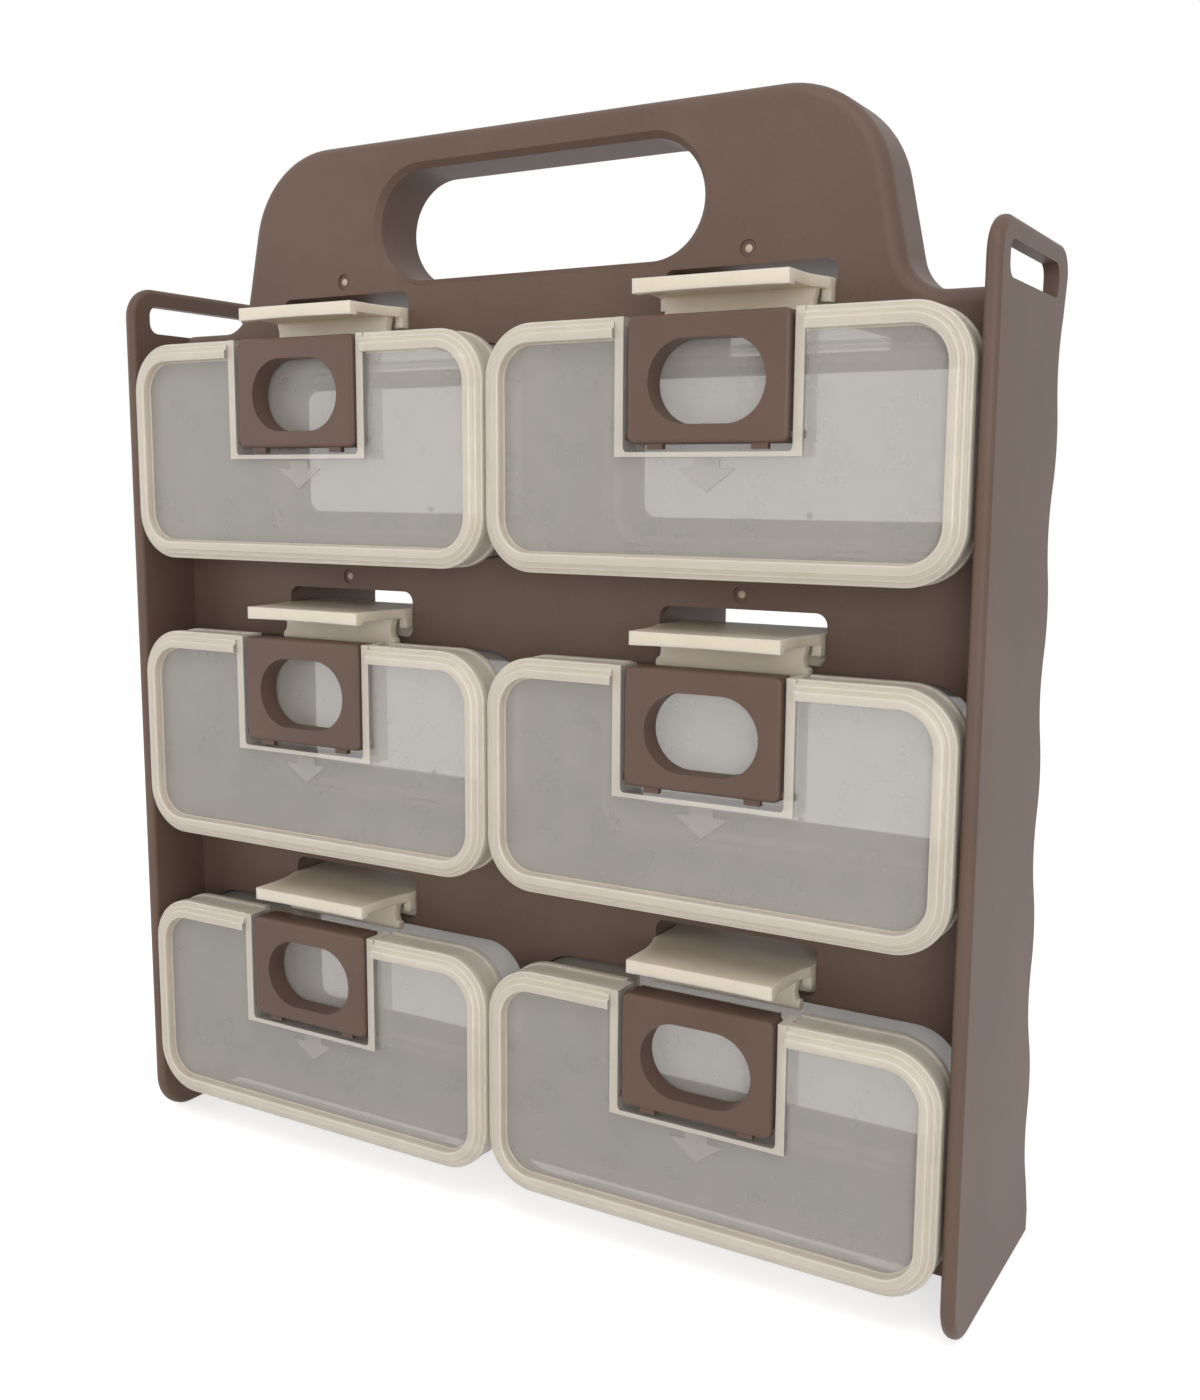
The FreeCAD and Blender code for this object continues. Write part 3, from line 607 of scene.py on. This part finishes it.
# The narrow faces of these two bevels get a painted highlight, a paler colour along the rounded edge.
for face in soften(lid_mesh, front_edges(False, RECESS_REACH, RECESS_DROP), RIM_ROUND, 3):
    face.material_index = PAINTED_HIGHLIGHT
for face in soften(lid_mesh, front_edges(True, LIP_REACH, LIP_DROP), LIP_ROUND):
    face.material_index = PAINTED_HIGHLIGHT
soften(lid_mesh, sharp_edges(lid_mesh), SMALL_ROUND)
repeat("lid", as_data(lid_mesh, "lid", thick_rim, thin_wall, painted_highlight_edge), "lid")

# %% [markdown]
# Arrow on each lid
#
# A plain arrow stands a little proud of each panel, below the latch, and shows which way the lid
# swings. It could be cut from the lid's own mesh, but a separate piece keeps the panel simple. It
# starts from its seven corners and is extruded, and its front edge is softened. The extra layer of
# plastic alone makes it paler.

# %% Arrows
SHAFT_HALF, HEAD_HALF = 3.3, 7.6
SHAFT_TOP, HEAD_TOP, TIP = -33.4, -35.6, -41.2
ARROW_FRONT, ARROW_BACK = 0.75, 1.2
ARROW_ROUND = 0.15 * MM
ARROW_CORNERS = (
    (-SHAFT_HALF, SHAFT_TOP), (-SHAFT_HALF, HEAD_TOP), (-HEAD_HALF, HEAD_TOP), (0, TIP),
    (HEAD_HALF, HEAD_TOP), (SHAFT_HALF, HEAD_TOP), (SHAFT_HALF, SHAFT_TOP))
arrow_mesh = bmesh.new()
corners = [
    arrow_mesh.verts.new(LID_CORNER + Vector((x, ARROW_BACK, z)) * MM) for x, z in ARROW_CORNERS]
made = bmesh.ops.extrude_face_region(arrow_mesh, geom=[arrow_mesh.faces.new(corners)])
front = [item for item in made["geom"] if isinstance(item, bmesh.types.BMVert)]
bmesh.ops.translate(arrow_mesh, vec=(0, (ARROW_FRONT - ARROW_BACK) * MM, 0), verts=front)
bmesh.ops.recalc_face_normals(arrow_mesh, faces=arrow_mesh.faces)
front_outline = [edge for edge in arrow_mesh.edges if all(corner in front for corner in edge.verts)]
soften(arrow_mesh, front_outline, ARROW_ROUND)
repeat(
    "lid_arrow", as_data(arrow_mesh, "lid_arrow", thin_wall), "lid", stands_in=False)

# %% [markdown]
# Bodies
#
# A body is a thin open tray. Its walls are cloudy windows, and its corners and mouth are thicker, so
# they show through the lid as pale bands. A second skin inside could give that thickness, but the
# narrow faces of the bevels lie just where it shows, so they take the rim's recipe. The rear corners
# are rounded more than the rest.

# %% Bodies
BODY_ROUND = 0.3 * MM
REAR_ROUND = 1.5 * MM
REAR_BAND = 6 * MM
REAR_ANGLE = math.radians(60)
WALL, CORNER = 0, 1
rear_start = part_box("box_1_body")[1].y - REAR_BAND
body_mesh = copy_of("box_1_body")
rear = [edge for edge in sharp_edges(body_mesh)
        if edge.calc_face_angle() < REAR_ANGLE and edge.verts[0].co.y > rear_start]
print("rear edges", len(rear))
rounded = soften(body_mesh, rear, REAR_ROUND, 3) + soften(body_mesh, sharp_edges(body_mesh), BODY_ROUND)
for face in rounded:
    if face.is_valid:
        face.material_index = CORNER
print("faces of the walls", sum(face.material_index == WALL for face in body_mesh.faces))
repeat("body", as_data(body_mesh, "body", thin_wall, thick_rim), "body")

# %% [markdown]
# Gate nub on each body
#
# Each body's mould is filled at one spot, which leaves a small round nub. It could be joined to the
# tray by a boolean, but the two are one plastic and look one where they touch, so the nub is a short
# cylinder with a softened rim that sinks into the wall.

# %% Gate nubs
NUB_RADIUS = 0.9 * MM
NUB_LENGTH = 0.8 * MM
NUB_ROUND = 0.25 * MM
NUB_PLACE = LID_CORNER + Vector((3.1, 57.2, -47.4)) * MM
nub_mesh = bmesh.new()
bmesh.ops.create_cone(
    nub_mesh, cap_ends=True, segments=24, radius1=NUB_RADIUS, radius2=NUB_RADIUS, depth=NUB_LENGTH,
    matrix=Matrix.Translation(NUB_PLACE) @ FACE_FRONT)
soften(nub_mesh, sharp_edges(nub_mesh), NUB_ROUND)
repeat(
    "body_nub", as_data(nub_mesh, "body_nub", thick_rim), "body", stands_in=False)

# %% [markdown]
# Latches
#
# A latch is a hollow plate with a finger hole, the same pigmented plastic as the rack with a finer
# satin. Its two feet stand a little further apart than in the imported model. They could be cut off and
# set anew, but sliding the corners of their four sides keeps the mesh closed.

# %% Latches
LATCH_ROUND = 0.3 * MM
LATCH_BOTTOM = -29.8
FOOT_SIDES = (9.6, 13.8)
FOOT_SHIFT = 1.9
latch_mesh = copy_of("box_1_latch")
for corner in latch_mesh.verts:
    place = on_lid(corner.co)
    if place.z < LATCH_BOTTOM and any(abs(abs(place.x) - side) < CLOSE for side in FOOT_SIDES):
        corner.co.x += math.copysign(FOOT_SHIFT * MM, place.x)
soften(latch_mesh, sharp_edges(latch_mesh), LATCH_ROUND)
repeat("latch", as_data(latch_mesh, "latch", latch_plastic), "latch")

# %% [markdown]
# Clips
#
# A clip is the thickest moulding of the natural plastic, and looks cream. Its thumb tab is level from
# side to side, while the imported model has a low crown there. A new tab could be built, but the crown is
# a plain parabola across the width, so lifting each corner of the tab's top and front lip by the same
# parabola makes it level.

# %% Clips
CLIP_ROUND = 0.5 * MM
CROWN, CROWN_REACH = 1.2, 22.4
TAB_LOW = 4.75
LIP_LOW, LIP_DEPTH = 4.1, 3.3
clip_mesh = copy_of("box_1_clip")
for corner in clip_mesh.verts:
    place = on_lid(corner.co)
    if place.z > TAB_LOW or place.y < LIP_DEPTH and place.z > LIP_LOW:
        corner.co.z += CROWN * (place.x / CROWN_REACH) ** 2 * MM
soften(clip_mesh, sharp_edges(clip_mesh), CLIP_ROUND, 3)
repeat("clip", as_data(clip_mesh, "clip", heavy_clip), "clip")

# %% [markdown]
# Floor
#
# A pale painted floor catches the case's shadow. A brighter lamp could turn it white, but it would
# bleach the case too. Instead the floor glows a little for the eye alone, directly, in a gloss or
# through a clear wall, so that it runs out into a white background without a horizon and lights
# nothing.

# %% Floor
FLOOR_RADIUS = 4.0
FLOOR_ALBEDO = 0.8
FLOOR_GLOW = 0.66
FLOOR_ROUGHNESS = 0.9
WHITE = (1, 1, 1, 1)


def seen(tree):
    """1 for what the eye looks at, directly, in a gloss or through a clear wall, and otherwise 0."""
    path = add(tree, "LightPath").outputs
    direct = add(tree, "Math", {
        0: path["Is Camera Ray"], 1: path["Is Glossy Ray"]}, operation="MAXIMUM")
    either = add(tree, "Math", {
        0: direct.outputs[0], 1: path["Is Transmission Ray"]}, operation="MAXIMUM")
    return either.outputs[0]


floor_paint, floor_tree, floor_shader = new_material("painted floor, pale")
floor_shader.inputs["Base Color"].default_value = (FLOOR_ALBEDO, FLOOR_ALBEDO, FLOOR_ALBEDO, 1)
floor_shader.inputs["Roughness"].default_value = FLOOR_ROUGHNESS
floor_shader.inputs["Specular IOR Level"].default_value = 0.0
floor_shader.inputs["Emission Color"].default_value = WHITE
glow = add(floor_tree, "Math", {0: seen(floor_tree), 1: FLOOR_GLOW}, operation="MULTIPLY")
floor_tree.links.new(glow.outputs[0], floor_shader.inputs["Emission Strength"])
floor_mesh = bmesh.new()
bmesh.ops.create_circle(floor_mesh, cap_ends=True, radius=FLOOR_RADIUS, segments=64)
floor = new_object("floor", as_data(floor_mesh, "floor", floor_paint))
print("floor", FLOOR_RADIUS, "m in radius")

# %% [markdown]
# World
#
# A studio's white walls fill every shadow with soft light. Real walls could be built, but an even white
# world does the same. It lights the case at less than half strength, so that the lamps still model its
# shape, and shows as full white behind it, by the same rule as the floor's glow.

# %% World
AMBIENT = 0.46
world = bpy.data.worlds.new("studio")
bpy.context.scene.world = world
world.use_nodes = True
sky = world.node_tree
level = add(sky, "MapRange", {"Value": seen(sky), "To Min": AMBIENT, "To Max": 1.0})
background = sky.nodes["Background"]
background.inputs["Color"].default_value = WHITE
sky.links.new(level.outputs["Result"], background.inputs["Strength"])
print("world", AMBIENT)

# %% [markdown]
# Lamps
#
# Four square softboxes stand round the case: the main ones in front and above, and weak ones at the
# sides. Spot lamps would leave hard shadows, and broad lamps leave soft ones, as in a light tent. The
# power of a lamp is hard to guess, so it is worked out from the level that it adds at the case: a small
# square of power P at a distance R gives a white face towards it the level P / (pi² R²).

# %% Lamps
CASE_MIDDLE = (cad_low + cad_high) / 2


def softbox(name, place, side, level):
    """A square lamp that adds this level of white to a surface that faces it at the case."""
    lamp = bpy.data.lights.new(name, "AREA")
    lamp.shape = "SQUARE"
    lamp.size = side
    reach = Vector(place) - CASE_MIDDLE
    lamp.energy = level * math.pi ** 2 * reach.length_squared
    holder = new_object(name, lamp)
    holder.rotation_mode = "QUATERNION"
    holder.location = place
    holder.rotation_quaternion = reach.to_track_quat("Z", "Y")
    print(name, round(lamp.energy, 1), "W")


softbox("front", (0.73, -1.15, 0.33), 0.5, 0.3)
softbox("top", (0.3, -0.6, 1.2), 0.6, 0.26)
softbox("left", (-0.9, -0.7, 0.3), 0.8, 0.18)
softbox("right", (1.1, -0.4, 0.3), 0.6, 0.02)

# %% [markdown]
# Camera
#
# The viewpoint was solved from straight edges of the case in the photograph: the camera stands to the
# right of the case, a little above its middle, and looks left and slightly down. It could be placed by
# eye or made to track a target, but the solved turns are exact. A camera starts out looking straight
# down, so it is rolled by a trace, tilted up to just below level and turned left. The focal length is
# in pixels of the picture's height.

# %% Camera
CAMERA_PLACE = Vector((214.6, -340.7, 200.4)) * MM
CAMERA_LEFT = math.radians(30.35)
CAMERA_DOWN = math.radians(8.48)
CAMERA_ROLL = math.radians(0.34)
FOCAL_PIXELS = 1443
PICTURE_HEIGHT = 1400
NEAREST = 10 * MM
camera_data = bpy.data.cameras.new("camera")
camera_data.lens = camera_data.sensor_width * FOCAL_PIXELS / PICTURE_HEIGHT
camera_data.clip_start = NEAREST
camera = new_object("camera", camera_data)
camera.matrix_world = (
    Matrix.Translation(CAMERA_PLACE)
    @ Matrix.Rotation(CAMERA_LEFT, 4, "Z")
    @ Matrix.Rotation(QUARTER_TURN - CAMERA_DOWN, 4, "X")
    @ Matrix.Rotation(CAMERA_ROLL, 4, "Z"))
bpy.context.scene.camera = camera
bpy.context.scene.view_settings.view_transform = "Standard"
print("lens", round(camera_data.lens, 2), "mm")
